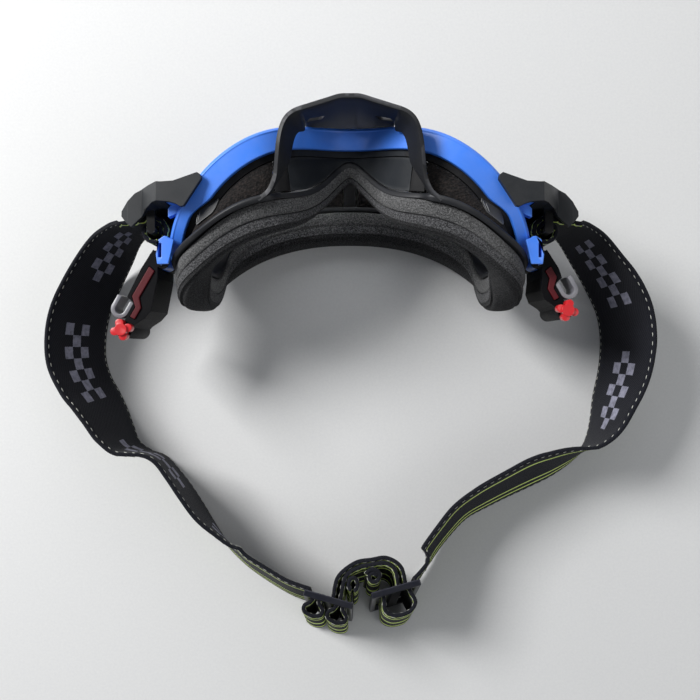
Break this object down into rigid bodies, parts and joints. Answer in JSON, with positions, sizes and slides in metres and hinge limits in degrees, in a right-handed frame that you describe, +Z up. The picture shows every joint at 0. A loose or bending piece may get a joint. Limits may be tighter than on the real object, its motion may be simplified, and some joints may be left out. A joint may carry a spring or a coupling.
{
  "type": "motocross goggles",
  "caption": "Wraparound off-road riding goggles with foam face pad, nose guard, strap outriggers, swinging side arms and a wide elastic strap.",
  "frame": {"origin": "bottom centre of the whole, on the surface the goggles stand on, brow edge down", "axes": "+Z up towards the chin edge, +Y the way the wearer looks, +X to the right in plan"},
  "size_m": [0.3286, 0.2884, 0.105],
  "materials": {
    "blue_plastic": "moulded satin blue",
    "black_plastic": "matte moulded black",
    "grey_plastic": "matte moulded grey",
    "hook_grey": "satin grey plastic",
    "red_plastic": "glossy red plastic",
    "dark_red": "dark red soft plastic",
    "lens": "clear coated polycarbonate",
    "foam_grey": "open-cell foam",
    "foam_dark": "soft foam",
    "fleece": "brushed fleece",
    "vent_foam": "coarse open-cell foam",
    "webbing": "woven elastic webbing",
    "steel": "satin steel"
  },
  "bodies": {
    "frame": {"outer_frame": "blue_plastic", "inner_frame": "black_plastic", "face_flange": "black_plastic", "frame_ribs": "black_plastic", "lens": "lens", "nose_plate": "grey_plastic", "vent_foam_cheek_left": "vent_foam", "vent_foam_cheek_right": "vent_foam", "vent_foam_brow_left": "vent_foam", "vent_foam_brow_right": "vent_foam", "foam_base": "foam_grey", "foam_middle": "foam_dark", "foam_fleece": "fleece", "side_tabs": "grey_plastic", "outrigger_bracket_left": "blue_plastic", "outrigger_bracket_right": "blue_plastic", "outrigger_pin_left": "steel", "outrigger_pin_right": "steel", "arm_bracket_left": "blue_plastic", "arm_bracket_right": "blue_plastic", "arm_pin_left": "steel", "arm_pin_right": "steel", "strap_left": "webbing", "strap_right": "webbing", "strap_arch": "webbing", "strap_tails": "webbing", "slider_left": "black_plastic", "slider_right": "black_plastic", "slider_loops_left": "webbing", "slider_loop_right": "webbing"},
    "outrigger_left": {"outrigger_left": "black_plastic", "strap_end_left": "webbing"},
    "outrigger_right": {"outrigger_right": "black_plastic", "strap_end_right": "webbing"},
    "side_arm_left": {"side_arm_left": "black_plastic", "hook_clip_left": "hook_grey", "liner_strip_left": "dark_red"},
    "side_arm_right": {"side_arm_right": "black_plastic", "hook_clip_right": "hook_grey", "liner_strip_right": "dark_red"},
    "knob_left": {"red_knob_left": "red_plastic"},
    "knob_right": {"red_knob_right": "red_plastic"},
    "nose_guard": {"nose_guard": "black_plastic"}
  },
  "joints": [
    {"name": "outrigger_left_flex", "type": "hinge", "parent": "frame", "child": "outrigger_left", "pos_m": [-0.08585, 0.09883, 0.049], "axis": [0, 0, 1], "range_deg": [-4, 0]},
    {"name": "outrigger_right_flex", "type": "hinge", "parent": "frame", "child": "outrigger_right", "pos_m": [0.08585, 0.09883, 0.049], "axis": [0, 0, -1], "range_deg": [-4, 0]},
    {"name": "side_arm_left_swing", "type": "hinge", "parent": "frame", "child": "side_arm_left", "pos_m": [-0.09647, 0.07018, 0.057], "axis": [0, 0, -1], "range_deg": [0, 28]},
    {"name": "side_arm_right_swing", "type": "hinge", "parent": "frame", "child": "side_arm_right", "pos_m": [0.09647, 0.07018, 0.057], "axis": [0, 0, 1], "range_deg": [0, 28]},
    {"name": "knob_left_turn", "type": "hinge", "parent": "side_arm_left", "child": "knob_left", "pos_m": [-0.11302, 0.0347, 0.074], "axis": [0, 0, 1], "range_deg": [0, 90]},
    {"name": "knob_right_turn", "type": "hinge", "parent": "side_arm_right", "child": "knob_right", "pos_m": [0.10752, 0.04423, 0.074], "axis": [0, 0, -1], "range_deg": [0, 90]},
    {"name": "nose_guard_unclip", "type": "slide", "parent": "frame", "child": "nose_guard", "axis": [0, 1, 0], "range_m": [0, 0.016]}
  ]
}
